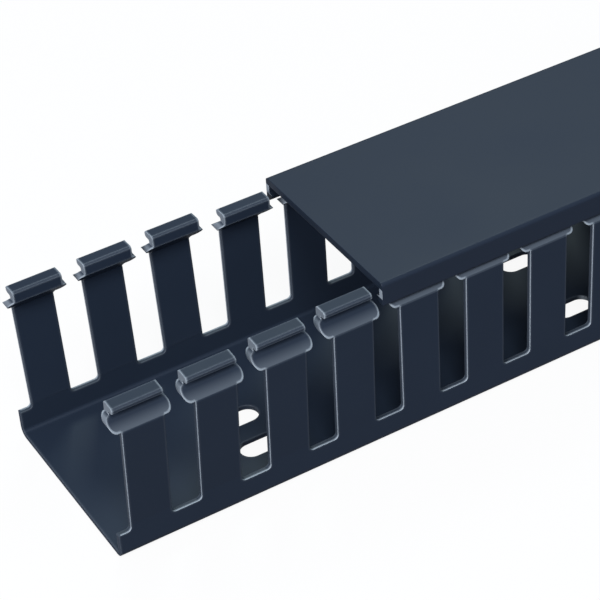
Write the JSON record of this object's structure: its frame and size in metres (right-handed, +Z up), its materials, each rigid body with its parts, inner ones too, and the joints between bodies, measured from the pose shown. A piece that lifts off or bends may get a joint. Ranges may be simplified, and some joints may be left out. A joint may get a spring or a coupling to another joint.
{
  "type": "slotted wire duct with cover",
  "caption": "Straight plastic wiring duct: U-channel with comb-like slotted side walls, slots in its floor, and a clip-on cover set back from the cut end.",
  "frame": {"origin": "middle of the duct's length and width, on the plane that its underside rests on", "axes": "+X along the duct from the open cut end to the covered end, +Z up to the cover"},
  "size_m": [1, 0.0623, 0.0508],
  "materials": {
    "base_plastic": "satin",
    "cover_plastic": "satin"
  },
  "bodies": {
    "channel": {"duct_base": "base_plastic"},
    "lid": {"cover": "cover_plastic"}
  },
  "joints": [
    {"name": "cover_slide", "type": "slide", "parent": "channel", "child": "lid", "axis": [1, 0, 0], "range_m": [0, 0.8]}
  ]
}
